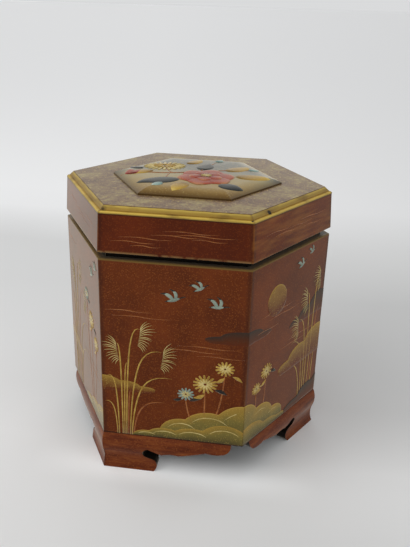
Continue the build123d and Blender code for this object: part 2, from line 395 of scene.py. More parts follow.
# %% Lid top
top_lacquer, add, place = new_finish("flaked_lacquer_polished")
mottle = add("TexNoise", [place, 1 / (3.2 * MM), 5.0, 0.7])
drifts = add("TexNoise", [place, 1 / (15 * MM), 3.0])
both = add("Math", [mottle, drifts], operation="ADD")
haze = add("Math", [both, 0.5], operation="MULTIPLY")
ground = add("ValToRGB", [haze], stops=[
    (0.36, "#4a2b16"), (0.48, "#68482b"), (0.55, "#7e683c"), (0.66, "#a49258")])
large = sprinkle(add, place, ground, "#b89e5c", flake=1.4, share=0.3)
fine = sprinkle(add, place, large, "#a88c4e", flake=0.8, share=0.5)
height = add("SeparateXYZ", [place]).outputs["Z"]
under = add("Math", [height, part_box("lid_top")[0].z + 0.2 * MM], operation="LESS_THAN")
sided = add("Mix", [under, fine, "#1c0c06"])
lacquer(add, place, sided, milky=0.58)
dress("lid_top", top_lacquer)

# %% [markdown]
# ## Worn gilding on the moulding
#
# Gold leaf lies on the flat and the bead of the moulding, and brown shows where it has rubbed off, in
# patches and at the mitres. Height alone tells where on the profile a point is, so a colour ramp over the
# height draws painted shade in the quirk between them and along the lower edge, a painted highlight on the
# crest of the bead and a dark line along the upper edge, and noise breaks them up. Leaf over a hand-carved
# moulding is half metal to the eye, so metallic is between the two.

# %% Worn gold leaf
MOULDING_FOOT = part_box("lid_moulding_front")[0].z
MOULDING_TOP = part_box("lid_moulding_front")[1].z
gilding, add, place = new_finish("gold_leaf_worn_and_painted_light")
x, y, z = add("SeparateXYZ", [place]).outputs
along = add("Mapping", {"Vector": place, "Scale": (1, 1, 5)})
streaks = add("TexNoise", [along, 1 / (6 * MM), 5.0, 0.6])
wander = add("Math", [streaks, 0.5 * MM, z], operation="MULTIPLY_ADD")
profile = add("MapRange", [wander, MOULDING_FOOT + 0.25 * MM, MOULDING_TOP + 0.25 * MM])
# The ramp paints shade in the quirk and along the lower edge, a highlight on the crest of the bead, and a
# dark line at the upper edge.
leaf = add("ValToRGB", [profile], stops=[
    (0.0, "#4a3212"), (0.05, "#92763a"), (0.14, "#b2963f"), (0.26, "#d2b24e"), (0.36, "#b8963c"),
    (0.4, "#8e6c2a"), (0.48, "#98782e"), (0.66, "#9c7e30"), (0.82, "#b69a44"), (0.9, "#c0a44c"),
    (0.96, "#6e5020"), (1.0, "#2a190b")])
around = add("Math", [y, x], operation="ARCTAN2")
off_mitre = add("Math", [around, radians(HALF_FACE)], operation="PINGPONG")
bare = patchy(add, along, 14, start=0.5, full=0.7, most=0.65, detail=6.0)
bare_mitre = add("MapRange", [off_mitre, radians(0.8), radians(0.1), 0.0, streaks])
loss = add("Math", [bare, bare_mitre], operation="MAXIMUM")
worn_leaf_and_painted_light = add("Mix", [loss, leaf, "#5c3d18"])

# %% [markdown]
# Nail holes show in the moulding near the front corners, one of them in a rubbed spot. They are dark spots,
# drawn by the distance from each.

# %% Nail holes
NAIL_HOLES = [  # face; across, up and back from the moulding's lower edge, and radius, in mm; darkness
    ("front_right", 15.8, 1.9, 2.7, 1.5, 0.95),
    ("front", 74.5, 1.4, 1.5, 0.75, 0.95),
    ("front", 2.9, 2.2, 2.7, 1.7, 0.35),
    ("front", 2.6, 1.9, 2.7, 0.8, 0.65),
]
for face, across, upward, inward, radius, darkness in NAIL_HOLES:
    centre = face_place(face, APOTHEM, MOULDING_FOOT) @ Vector((across, upward, -inward))
    away = add("VectorMath", [place, centre], operation="DISTANCE")
    hole = add("MapRange", [away.outputs["Value"], radius * MM, 0.7 * radius * MM, 0.0, darkness])
    worn_leaf_and_painted_light = add("Mix", [hole, worn_leaf_and_painted_light, "#140c06"])
print("nail holes:", len(NAIL_HOLES))

# %% Gilding
dull = add("MapRange", [streaks, 0.0, 1.0, 0.3, 0.55])
shade(add, {"Base Color": worn_leaf_and_painted_light, "Metallic": 0.35, "Roughness": dull, "Specular IOR Level": 0.3})
dress("lid_moulding", gilding)

# %% [markdown]
# ## Black lacquer inside
#
# The linings, the floor board and the glue blocks have a plain black lacquer. A few gold flakes that
# strayed while the outside was sprinkled keep it from looking like a hole.

# %% Black lacquer inside
black_lacquer, add, place = new_finish("black_lacquer_polished")
clouds = add("TexNoise", [place, 1 / (25 * MM), 4.0])
ground = add("Mix", [clouds, "#0d0a08", "#1c1410"])
strays = sprinkle(add, place, ground, "#7a5a28", flake=1.0, share=0.05)
lacquer(add, place, strays)
dress(("lining_", "floor", "foot_front_block", "foot_right_block", "foot_back_block"), black_lacquer)

# %% [markdown]
# ## Feet
#
# Each foot is two mitred arms with an ogee face and a fretted lower edge. The CAD arms have sharp edges,
# and real ones are eased by sanding and handling. Both arms of a foot are joined in one form first, so that
# the bevel rounds their common corner too, and then they are cut apart at the mitre again. Faces that the
# bevel makes are marked, so that the finish can wear there.

# %% Finish of the feet
foot_lacquer, add, place = new_finish("orange_brown_lacquer_rubbed")
along = add("Mapping", {"Vector": place, "Scale": (1, 1, 6)})
clouds = add("TexNoise", [along, 1 / (14 * MM), 5.0, 0.65])
ground = add("ValToRGB", [clouds], stops=[
    (0.25, "#491c0b"), (0.45, "#642c12"), (0.6, "#763a18"), (0.8, "#905021")])
flaked = sprinkle(add, place, ground, "#8e5022", flake=0.7, share=0.6)
eased = add("Attribute", attribute_name="eased")
rubbed = patchy(add, place, 3, start=0.35, full=0.6, most=0.9, detail=3.0)
edge_wear = add("Math", [eased.outputs["Fac"], rubbed], operation="MULTIPLY")
worn = add("Mix", [edge_wear, flaked, "#b07a4e"])
height = add("SeparateXYZ", [place]).outputs["Z"]
seam = add("MapRange", [height, FOOT_TOP - 0.35 * MM, FOOT_TOP - 0.05 * MM, 0.0, 0.8])
seamed = add("Mix", [seam, worn, "#1c0c06"])
lacquer(add, place, seamed, milky=0.3)


# %% Pieces
def keep(form, name, finish, body):
    """Makes a form a finished piece that rides on a body."""
    for face in form.faces:
        face.smooth = True
    mesh = bpy.data.meshes.new(name)
    form.to_mesh(mesh)
    form.free()
    mesh.materials.append(finish)
    piece = bpy.data.objects.new(name, mesh)
    bpy.context.collection.objects.link(piece)
    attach(piece, body)
    return piece


# %% Eased feet
FOOT_CORNERS = {"front": 240, "right": 0, "back": 120}  # degrees around the axis
FOOT_EASE = 0.45 * MM
FOOT_JOIN = 0.002 * MM  # points of the two arms that are nearer than this are one
ON_MITRE = 0.005 * MM  # how near to the mitre's plane a point counts as on it
FLAT = radians(0.5)
SHARP = radians(35)
OUTER = 0.3  # how far a face must look outward to get the outer finish
for foot, corner_angle in FOOT_CORNERS.items():
    across_mitre = Vector((-sin(radians(corner_angle)), cos(radians(corner_angle)), 0))
    whole = bmesh.new()
    for hand in ("left", "right"):
        whole.from_mesh(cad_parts[f"foot_{foot}_arm_{hand}"].data)
    bmesh.ops.remove_doubles(whole, verts=whole.verts, dist=FOOT_JOIN)
    inside = [f for f in whole.faces if all(abs(v.co.dot(across_mitre)) < ON_MITRE for v in f.verts)]
    bmesh.ops.delete(whole, geom=inside, context="FACES")
    bmesh.ops.dissolve_limit(whole, angle_limit=FLAT, verts=whole.verts, edges=whole.edges)
    eased_layer = whole.faces.layers.float.new("eased")
    arrises = [e for e in whole.edges if e.is_manifold and e.calc_face_angle() > SHARP]
    made = bmesh.ops.bevel(
        whole, geom=arrises, offset=FOOT_EASE, offset_type="OFFSET", segments=2, profile=0.5, affect="EDGES",
        material=-1, clamp_overlap=True)
    for face in made["faces"]:
        face[eased_layer] = 1.0
    for hand, facing in (("left", 1), ("right", -1)):
        arm = whole.copy()
        arm_layer = arm.faces.layers.float["eased"]
        bmesh.ops.bisect_plane(
            arm, geom=arm.verts[:] + arm.edges[:] + arm.faces[:], plane_co=(0, 0, 0),
            plane_no=across_mitre * facing, clear_outer=True)
        mitre = [e for e in arm.edges if e.is_boundary]
        for edge in mitre:
            edge.smooth = False
        bmesh.ops.holes_fill(arm, edges=mitre)
        arm_angle = radians(corner_angle + (HALF_FACE if hand == "right" else -HALF_FACE))
        out = Vector((cos(arm_angle), sin(arm_angle), 0))
        for face in arm.faces:
            face.material_index = 1 if face[arm_layer] < 0.5 and face.normal.dot(out) < OUTER else 0
        piece = keep(arm, f"foot_{foot}_{hand}_eased", foot_lacquer, "case")
        piece.data.materials.append(black_lacquer)
        piece.modifiers.new("even_shading", "WEIGHTED_NORMAL").keep_sharp = True
        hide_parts(f"foot_{foot}_arm_{hand}")
    whole.free()
    print("foot", foot, "eased edges:", len(arrises))

# %% [markdown]
# ## Powders and pigments
#
# The pictures on such a box are drawn in wet lacquer and dusted with metal powder or pigment, then sealed
# and polished like the ground. A powder is never even: it thins out in places and its grains catch the
# light one by one. Real grains are far finer than a pixel, so they are drawn 0.45 mm apart.


# %% Powders and pigments
GRAIN = 0.45  # mm


def powder(name, deep, light, metallic):
    """Powder in lacquer, in two shades."""
    made, add, place = new_finish(name)
    spread = patchy(add, place, 5, start=0.35, full=0.65, detail=5.0, roughness=0.7)
    shades = add("Mix", [spread, deep, light])
    grains = sprinkle(add, place, shades, light, GRAIN, 0.6)
    shade(add, {**LACQUER_GLOSS, "Base Color": grains, "Metallic": metallic})
    return made


POWDERS = {  # finish, slot, and height over a wall in mm
    "gold": (powder("gold_powder_burnished", "#94702c", "#c4a24e", 0.3), "gilt", 0.05),
    "pale": (powder("pale_gold_powder_burnished", "#ac9450", "#d8c484", 0.3), "gilt", 0.1),
    "russet": (powder("russet_gold_powder_worn", "#7c4220", "#a86a38", 0.2), "gilt", 0.02),
    "charcoal": (powder("charcoal_pigment_lacquer", "#211d1a", "#3a342e", 0.0), "black_lacquer", 0.06),
    "shell": (powder("ground_shell_lacquer", "#6c7a70", "#98a494", 0.0), "plaque_lacquer", 0.08),
}

# %% [markdown]
# The broad banks of mist are dusted more thinly towards their lower edge, from a bright rim through olive
# to nearly bare lacquer. Each bank has a map from its lower to its upper edge, and a colour ramp follows
# that map.


# %% Graded powders of the mist
def graded(name, stops, rim_code="#c2a552", milky=0.6):
    """Powder that thins out from the upper to the lower edge of a bank, with a brighter rim."""
    made, add, place = new_finish(name)
    up_bank = add("SeparateXYZ", [add("UVMap", uv_map="bank")]).outputs["Y"]
    clouds = add("TexNoise", [place, 1 / (14 * MM), 3.0])
    uneven = add("MapRange", [clouds, 0.0, 1.0, -0.22, 0.22])
    height = add("Math", [up_bank, uneven], operation="ADD", use_clamp=True)
    grade = add("ValToRGB", [height], stops=stops)
    grains = sprinkle(add, place, grade, rim_code, GRAIN, 0.3)
    rim = add("MapRange", [up_bank, 0.86, 0.9, 0.0, 0.55])
    rimmed = add("Mix", [rim, grains, rim_code])
    lacquer(add, place, rimmed, milky)
    return made


MISTS = {
    "bank": graded("gold_powder_graded", [
        (0.0, "#3f341d"), (0.25, "#564b27"), (0.5, "#736632"), (0.75, "#957833"), (1.0, "#a98236")]),
    "haze": graded("gold_powder_fading", [
        (0.0, "#5f260d"), (0.3, "#633013"), (0.6, "#7f5a26"), (1.0, "#a58338")]),
    "smoke": graded("charcoal_powder_fading", [
        (0.0, "#5f260d"), (0.35, "#54280f"), (0.7, "#3b2a20"), (1.0, "#37302c")], rim_code="#4a3c2c"),
}

# %% [markdown]
# ## Brush strokes
#
# A pointed brush leaves strokes that swell and taper. One could model each as a mesh, but a curve with a
# width at each point is what a brush draws, so the strokes are curves, made a mesh, pressed flat, and laid
# half in the surface like a raised line of lacquer. A stroke is a list of points: across, up and width, in
# millimetres.


# %% Brush strokes
STROKE_JOIN = 0.015  # mm, points of a stroke that are nearer than this are one


def brush(strokes, flatness=0.2):
    """A form of flat tapered strokes, with out as z."""
    curve = bpy.data.curves.new("brush", "CURVE")
    curve.dimensions = "3D"
    curve.bevel_depth = 0.5
    curve.bevel_resolution = 2
    curve.resolution_u = 4
    curve.use_fill_caps = True
    for stroke in strokes:
        line = curve.splines.new("NURBS")
        line.points.add(len(stroke) - 1)
        for point, (across, upward, width) in zip(line.points, stroke):
            point.co = (across, upward, 0, 1)
            point.radius = width
        line.order_u = 3
        line.use_endpoint_u = True
    holder = bpy.data.objects.new("brush", curve)
    mesh = bpy.data.meshes.new_from_object(holder)
    form = bmesh.new()
    form.from_mesh(mesh)
    bmesh.ops.remove_doubles(form, verts=form.verts, dist=STROKE_JOIN)
    bmesh.ops.scale(form, vec=(1, 1, flatness), verts=form.verts)
    bmesh.ops.recalc_face_normals(form, faces=form.faces)
    bpy.data.objects.remove(holder)
    bpy.data.curves.remove(curve)
    bpy.data.meshes.remove(mesh)
    return form


# %% Banks of mist
MIST_ROWS = (0.0, 0.03, 0.15, 0.35, 0.55, 0.75, 0.92, 0.98, 1.0)  # shares of a bank's height
MIST_COLUMNS = 64
WALL_EDGE = (0.06, 75.94)  # mm across a wall, to the middle of its rounded corners
CORNER_DROP = 0.1  # mm that the middle of a rounded corner lies behind the wall's face
BORDER = 0.99  # of a grid's half width, from where a point is on its border
MIST_RAISED = 0.08  # mm over the wall
RIM_SUNK = 0.1  # mm that the rim of a bank or a petal lies in the ground


def cloud(lobes, base):
    """Round lobes on a level base. A lobe is its middle, across and up, and its two radii."""
    form = bmesh.new()
    form.loops.layers.uv.new("bank")
    rows = len(MIST_ROWS) - 1
    bmesh.ops.create_grid(form, x_segments=MIST_COLUMNS, y_segments=rows, size=1.0, calc_uvs=True)
    left = max(WALL_EDGE[0], min(x - wide for x, y, wide, tall in lobes))
    right = min(WALL_EDGE[1], max(x + wide for x, y, wide, tall in lobes))
    for corner in form.verts:
        across = round(left + (right - left) * (corner.co.x + 1) / 2, 4)
        share = MIST_ROWS[round((corner.co.y + 1) / 2 * rows)]
        at_corner = across in WALL_EDGE
        at_rim = abs(corner.co.y) > BORDER or (abs(corner.co.x) > BORDER and not at_corner)
        half = [(y, tall * sqrt(max(0.0, 1 - ((across - x) / wide) ** 2))) for x, y, wide, tall in lobes
                if abs(across - x) <= wide + 0.001]
        upper = max(y + h for y, h in half)
        lower = min(upper, max(base, min(y - h for y, h in half)))
        raised = -RIM_SUNK if at_rim else MIST_RAISED
        corner.co = (across, lower + (upper - lower) * share, raised - CORNER_DROP * at_corner)
    return form


# %% [markdown]
# ## Motifs
#
# The walls carry a field of autumn grass with chrysanthemums, mist and small birds, drawn from common
# motifs. Each motif is a few strokes around a point, so a wall is a short table of places and sizes.


# %% Grass
PLUME_HAIRS = 13
chance = random.Random(3)


def blade(foot, tip, width):
    """A grass blade that rises straight and bends over to its tip."""
    (x, y), (dx, dy) = foot, (tip[0] - foot[0], tip[1] - foot[1])
    return [(x, y, 0.7 * width), (x + 0.05 * dx, y + 0.55 * dy, width),
            (x + 0.45 * dx, y + 1.05 * dy, 0.75 * width), (x + dx, y + dy, 0.02)]


def plume(x, y, side):
    """The feathery head of a grass, leaning to one side."""
    hairs = []
    for count in range(PLUME_HAIRS):
        angle = radians(80 - 9 * count + chance.uniform(-5, 5))
        reach = 8.5 - 0.5 * abs(count - 4) + chance.uniform(-0.8, 0.8)
        root = (x - 0.12 * side * count, y - 0.75 * count)
        hairs.append([
            (root[0], root[1], 0.25),
            (root[0] + 0.5 * side * reach * cos(angle), root[1] + 0.5 * reach * sin(angle), 0.55),
            (root[0] + side * reach * cos(angle - 0.5), root[1] + reach * sin(angle - 0.5), 0.02)])
    return hairs


# %% Flowers and leaves
def petals(x, y, radius, count, turn=0.0):
    """A ring of petals, seen a little from the side."""
    ring = []
    for petal in range(count):
        angle = turn + tau * petal / count
        dx, dy = radius * cos(angle), 0.85 * radius * sin(angle)
        width = 4.2 * radius / count
        ring.append([(x + 0.2 * dx, y + 0.2 * dy, 0.4 * width), (x + 0.7 * dx, y + 0.7 * dy, width),
                     (x + dx, y + dy, 0.5 * width)])
    return ring


def leaf_stroke(x, y, length, degrees, width):
    """A pointed leaf."""
    dx, dy = length * cos(radians(degrees)), length * sin(radians(degrees))
    return [(x, y, 0.1), (x + 0.35 * dx - 0.1 * dy, y + 0.35 * dy + 0.1 * dx, width),
            (x + 0.7 * dx - 0.08 * dy, y + 0.7 * dy + 0.08 * dx, 0.7 * width), (x + dx, y + dy, 0.02)]


# %% Birds
def bird(x, y, size, degrees):
    """A small flying crane: its pale body and wings, then its dark neck, wing tips and tail."""
    c, s = size * cos(radians(degrees)), size * sin(radians(degrees))
    pale_shapes = [
        [(-0.85, -0.05, 0.1), (-0.3, 0.0, 0.42), (0.3, 0.1, 0.42), (0.7, 0.22, 0.14)],
        [(-0.05, 0.1, 0.3), (-0.35, 0.5, 0.5), (-0.75, 0.85, 0.4), (-1.1, 0.95, 0.15)],
        [(0.25, 0.15, 0.3), (0.4, 0.65, 0.45), (0.25, 1.05, 0.35), (0.0, 1.25, 0.12)],
    ]
    dark_shapes = [
        [(0.65, 0.2, 0.16), (0.95, 0.3, 0.13), (1.25, 0.38, 0.17), (1.5, 0.36, 0.02)],
        [(-0.8, 0.86, 0.34), (-1.1, 0.98, 0.28), (-1.5, 0.95, 0.02)],
        [(0.2, 1.08, 0.3), (0.0, 1.32, 0.24), (-0.35, 1.48, 0.02)],
        [(-0.75, -0.04, 0.2), (-1.15, -0.12, 0.02)],
    ]
    return [[[(x + a * c - b * s, y + a * s + b * c, w * size) for a, b, w in shape] for shape in shapes]
            for shapes in (pale_shapes, dark_shapes)]


# %% Lines of mist
LINE_EDGE = (0.6, 75.4)  # mm across a wall, as far as lines inside the mist go


def contour(x, y, wide, tall):
    """A pale line inside a lobe of mist, as far as the wall's edge."""
    line = []
    for degrees, width in ((150, 0.03), (130, 0.4), (110, 0.5), (90, 0.5), (70, 0.5), (50, 0.4), (30, 0.03)):
        angle = radians(degrees)
        across, upward = x + 0.74 * wide * cos(angle), y + 0.7 * tall * sin(angle)
        if LINE_EDGE[0] < across < LINE_EDGE[1]:
            line.append((across, max(upward, 0.5), width))
    return line


def breath(left, right, y, width):
    """A thin line of mist."""
    span = right - left
    return [(left, y, 0.03), (left + 0.35 * span, y + 0.9, width), (left + 0.7 * span, y - 0.5, 0.8 * width),
            (right, y + 0.2, 0.02)]


# %% [markdown]
# ## Where the motifs stand
#
# Places are in millimetres from the lower left corner of a wall, seen from outside. Mists are listed from
# the back: their kind, the level of their base, and their lobes. The grass table gives the foot, the tip
# and the width of each blade, and the plumes lean from some of the tips.

# %% Where the motifs stand
WALLS = {
    "front": {
        "mists": [
            ("smoke", 60, [(66, 62, 12, 2.6), (76, 64, 14, 4.0)]),
            ("haze", 27, [(0, 31, 11, 5.0), (12, 30, 9, 3.6), (22, 29, 7, 2.0)]),
            ("bank", 0.3, [(76, 10, 16, 15), (58, 8, 15, 11), (43, 4, 12, 9.5)]),
            ("bank", 0.3, [(66, 1, 14, 11), (49, 0, 13, 8), (34, 0, 11, 6.5), (24, 0, 8, 4)]),
        ],
        "grass": [(9, 3, 36, 0.8), (11, 8, 55, 0.9), (13, 21, 64, 0.9), (14, 17, 30, 0.7),
                  (15, 33, 52, 0.9), (16, 38, 37, 0.9), (8, 1.5, 20, 0.7), (17, 35, 22, 0.8),
                  (12, 14, 44, 0.8)],
        "plumes": [(8, 55, -1), (21, 64, 1), (33, 52, 1)],
        "blossoms": [(55, 36, 6.4, 15), (65, 46, 5.0, 13), (45, 29, 4.4, 12)],
        "leaves": [(55, 30, 7, 205, 2.8), (60, 33, 7, -20, 2.6), (65, 41, 6, 215, 2.4),
                   (47, 25, 6, 15, 2.2), (69, 42, 6, -30, 2.2), (43, 26, 5, 190, 2.0)],
        "birds": [(38, 82, 4.2, 8), (51, 89, 3.4, 18), (60, 80, 4.0, -6)],
        "breaths": [(40, 72, 57, 0.5), (34, 64, 54.5, 0.55), (50, 75, 52, 0.45), (3, 28, 74, 0.5),
                    (6, 38, 71, 0.5)],
    },
    "front_right": {
        "mists": [
            ("smoke", 60, [(0, 64, 13, 4.0), (12, 62, 9, 2.2)]),
            ("smoke", 55, [(47, 55, 8, 4.0), (58, 55, 10, 8.5), (71, 55, 13, 14.0)]),
            ("haze", 64, [(25, 77, 9, 9)]),
            ("haze", 28, [(40, 31, 9, 4.0), (54, 33, 13, 8.0), (72, 36, 15, 11.0)]),
            ("bank", 0.3, [(0, 10, 14, 15), (15, 8, 13, 11), (28, 5, 10, 7)]),
            ("bank", 0.3, [(6, 1, 15, 10), (22, 0, 13, 6), (34, 0, 9, 3.5)]),
            ("smoke", 0.3, [(52, 1, 12, 4), (66, 2, 12, 8), (78, 2, 10, 10)]),
        ],
        "grass": [(60, 49, 56, 0.9), (62, 57, 70, 0.9), (65, 70, 80, 0.9), (67, 74, 60, 0.9),
                  (58, 43, 44, 0.8), (56, 39, 30, 0.8), (69, 74.5, 40, 0.8)],
        "plumes": [(49, 56, -1), (57, 70, -1), (70, 80, -1)],
        "blossoms": [(19, 38, 5.2, 13), (10, 31, 4.0, 12)],
        "leaves": [(19, 33, 6, 205, 2.4), (23, 36, 6, -20, 2.4), (10, 28, 5, 10, 2.0)],
        "birds": [(48, 90, 3.6, 12), (58, 95, 3.0, 4)],
        "breaths": [(8, 44, 71, 0.7), (16, 50, 67.5, 0.6), (4, 30, 63, 0.5), (38, 72, 48, 0.5),
                    (30, 62, 45, 0.45)],
    },
    "front_left": {
        "mists": [
            ("haze", 22, [(0, 25, 10, 5.0), (12, 24.5, 9, 3.8), (22, 23.5, 7, 2.0)]),
            ("bank", 0.3, [(76, 4, 15, 10), (60, 2, 13, 8), (46, 0, 11, 5)]),
        ],
        "grass": [(12, 6, 56, 0.9), (15, 12, 74, 0.9), (18, 28, 80, 0.9), (21, 38, 66, 0.9),
                  (23, 46, 48, 0.9), (11, 3, 36, 0.8), (25, 42, 30, 0.8)],
        "plumes": [(12, 74, -1), (28, 80, 1), (38, 66, 1)],
        "blossoms": [(55, 58, 5.8, 14), (65, 48, 4.8, 13), (46, 70, 4.2, 12)],
        "leaves": [(55, 53, 6, 205, 2.6), (60, 55, 6, -20, 2.4), (65, 44, 6, 215, 2.2),
                   (48, 66, 5, 10, 2.0)],
        "birds": [(60, 86, 3.8, 8), (68, 92, 3.2, 0)],
        "breaths": [(30, 70, 32, 0.5), (38, 75, 28, 0.5), (2, 24, 90, 0.5)],
    },
    "back_right": {
        "mists": [
            ("haze", 40, [(66, 43, 12, 4.0), (78, 44, 12, 5.5), (54, 42, 9, 2.4)]),
            ("bank", 0.3, [(0, 3, 14, 10), (15, 1, 12, 7), (27, 0, 9, 4)]),
            ("bank", 0.3, [(76, 4, 14, 12), (61, 2, 13, 8), (48, 0, 10, 5)]),
        ],
        "grass": [(12, 4, 44, 0.9), (14, 17, 62, 0.9), (16, 29, 54, 0.9), (10, 2, 26, 0.8),
                  (17, 33, 36, 0.8)],
        "plumes": [(17, 62, 1), (29, 54, 1)],
        "blossoms": [(58, 27, 5.8, 14), (67, 35, 4.6, 13)],
        "leaves": [(58, 22, 6, 205, 2.6), (63, 25, 6, -20, 2.4), (67, 31, 5, 215, 2.0)],
        "birds": [(34, 82, 3.8, 8), (45, 88, 3.2, 18)],
        "breaths": [(28, 66, 62, 0.5), (38, 74, 58, 0.5), (4, 30, 78, 0.5)],
    },
    "back": {
        "mists": [
            ("haze", 26, [(0, 29, 12, 5.0), (14, 28.5, 10, 3.8), (26, 27.5, 8, 2.2)]),
            ("bank", 0.3, [(0, 4, 14, 12), (16, 2, 12, 7)]),
            ("bank", 0.3, [(76, 3, 15, 10), (60, 1, 13, 8), (45, 0, 11, 5)]),
        ],
        "grass": [(56, 47, 54, 0.9), (58, 56, 70, 0.9), (61, 70, 62, 0.9), (54, 40, 38, 0.8),
                  (64, 74, 42, 0.8)],
        "plumes": [(47, 54, -1), (56, 70, -1), (70, 62, 1)],
        "blossoms": [(17, 43, 5.4, 14), (26, 52, 4.4, 13), (10, 53, 4.0, 12)],
        "leaves": [(17, 38, 6, 205, 2.4), (22, 41, 6, -20, 2.4), (10, 49, 5, 215, 2.0)],
        "birds": [(28, 82, 4.0, 8), (39, 88, 3.4, 18)],
        "breaths": [(6, 40, 68, 0.5), (14, 50, 64, 0.5), (44, 74, 84, 0.5)],
    },
    "back_left": {
        "mists": [
            ("smoke", 56, [(0, 58, 14, 4.0), (14, 57.5, 11, 2.6)]),
            ("haze", 34, [(76, 37, 14, 5.0), (61, 36, 11, 3.6), (50, 35, 8, 2.0)]),
            ("bank", 0.3, [(0, 3, 15, 11), (17, 1, 13, 8), (31, 0, 10, 4.5)]),
        ],
        "grass": [(52, 43, 46, 0.9), (55, 53, 62, 0.9), (58, 67, 56, 0.9), (60, 72, 36, 0.8)],
        "plumes": [(53, 62, -1), (67, 56, 1)],
        "blossoms": [(20, 28, 5.6, 14), (29, 36, 4.6, 13)],
        "leaves": [(20, 23, 6, 205, 2.4), (25, 26, 6, -20, 2.4)],
        "birds": [(20, 84, 3.6, 0), (32, 78, 3.8, 14)],
        "breaths": [(24, 60, 70, 0.5), (30, 70, 74, 0.5)],
    },
}
print("walls with a picture:", len(WALLS))

# %% [markdown]
# ## Painting the walls
#
# Every powder of a wall becomes one piece, because a piece has one finish. Powders that lie over others are
# laid a few hundredths of a millimetre higher.


# %% Strokes of a wall
def wall_strokes(motif):
    """The strokes of a wall's motifs, by powder."""
    strokes = {kind: [] for kind in POWDERS}
    for count, (foot, tip, top, width) in enumerate(motif["grass"]):
        strokes["russet" if count % 4 == 3 else "gold"].append(blade((foot, 0.3), (tip, top), width))
    for x, y, side in motif["plumes"]:
        strokes["pale"] += plume(x, y, side)
    root = sum(x for x, y, radius, number in motif["blossoms"]) / len(motif["blossoms"])
    for count, (x, y, radius, number) in enumerate(motif["blossoms"]):
        strokes["shell" if count == 2 else "gold"] += petals(x, y, radius, number)
        strokes["pale"] += petals(x, y, 0.6 * radius, number - 3, turn=0.3)
        lean = root - x
        strokes["russet"].append([
            (x, y - 0.8 * radius, 0.7), (x + 0.1 * lean, 0.6 * y, 0.8), (x + 0.5 * lean, 0.3 * y, 0.7),
            (x + 0.85 * lean, 0.5, 0.5)])
    for count, (x, y, length, degrees, width) in enumerate(motif["leaves"]):
        strokes["charcoal" if count % 2 else "gold"].append(leaf_stroke(x, y, length, degrees, width))
    for x, y, size, degrees in motif["birds"]:
        pale_strokes, dark_strokes = bird(x, y, size, degrees)
        strokes["shell"] += pale_strokes
        strokes["charcoal"] += dark_strokes
    strokes["russet"] += [breath(*line) for line in motif["breaths"]]
    for kind, base, lobes in motif["mists"]:
        if kind == "bank":
            strokes["pale"] += [contour(*lobe) for lobe in lobes]
    return strokes


# %% Painting the walls
MIST_BED = -0.04  # mm that the lowest bank is sunk
MIST_STEP = 0.025  # mm that each bank lies over the one before


def paint(strokes, place, name, body):
    """One piece for each powder's strokes."""
    for kind, lines in strokes.items():
        if lines:
            finish, slot, height = POWDERS[kind]
            form = brush(lines)
            bmesh.ops.translate(form, vec=(0, 0, height), verts=form.verts)
            bmesh.ops.transform(form, matrix=place, verts=form.verts)
            keep(form, f"{name}_{kind}", finish, body)


for face, motif in WALLS.items():
    place = face_place(face, APOTHEM, FOOT_TOP)
    strokes = wall_strokes(motif)
    paint(strokes, place, f"{face}_wall", "case")
    for count, (kind, base, lobes) in enumerate(motif["mists"]):
        form = cloud(lobes, base)
        bmesh.ops.translate(form, vec=(0, 0, MIST_STEP * count + MIST_BED), verts=form.verts)
        bmesh.ops.transform(form, matrix=place, verts=form.verts)
        keep(form, f"{face}_wall_{kind}_{count + 1}", MISTS[kind], "case")
    print("painted", face, {kind: len(lines) for kind, lines in strokes.items() if lines})

# %% [markdown]
# ## Lines on the lid sides
#
# The lid sides have only a few thin lines of mist. They lean with the side, which is a little wider at its
# lower edge.

# %% Lines on the lid sides
LID_FLARE = 1.1  # mm that a side stands out more at its lower edge
LID_HEIGHT = 19.5  # mm
LID_OVERHANG = 0.3 * MM  # from the walls out to the lid's lower edge
LID_LINES = {
    "front": [(6, 30, 6.4, 0.4), (10, 38, 8.6, 0.45), (16, 32, 4.6, 0.4), (26, 54, 10.6, 0.45),
              (32, 60, 12.8, 0.4), (38, 68, 11.4, 0.5), (46, 64, 9.4, 0.4)],
    "front_right": [(10, 34, 11, 0.4), (18, 44, 8.8, 0.45), (30, 54, 10, 0.45), (40, 70, 12, 0.5),
                    (44, 66, 7.6, 0.4)],
    "back_right": [(6, 30, 10, 0.45), (18, 42, 8, 0.4), (26, 56, 12, 0.45), (44, 70, 8.5, 0.4)],
    "back": [(10, 36, 11, 0.45), (18, 44, 8.6, 0.4), (32, 60, 9.6, 0.45), (40, 72, 12, 0.4)],
    "back_left": [(8, 32, 9, 0.45), (24, 50, 11.5, 0.45), (32, 58, 8.4, 0.4), (46, 70, 10, 0.4)],
    "front_left": [(6, 30, 12, 0.45), (24, 52, 9.5, 0.45), (30, 60, 7.6, 0.4), (42, 70, 11, 0.4)],
}
for face, lines in LID_LINES.items():
    strokes = {"russet": [breath(*line) for line in lines]}
    place = face_place(face, APOTHEM + LID_OVERHANG, LID_BOTTOM, LID_FLARE / LID_HEIGHT)
    paint(strokes, place, f"lid_{face}", "lid")
print("lid sides with lines:", len(LID_LINES))
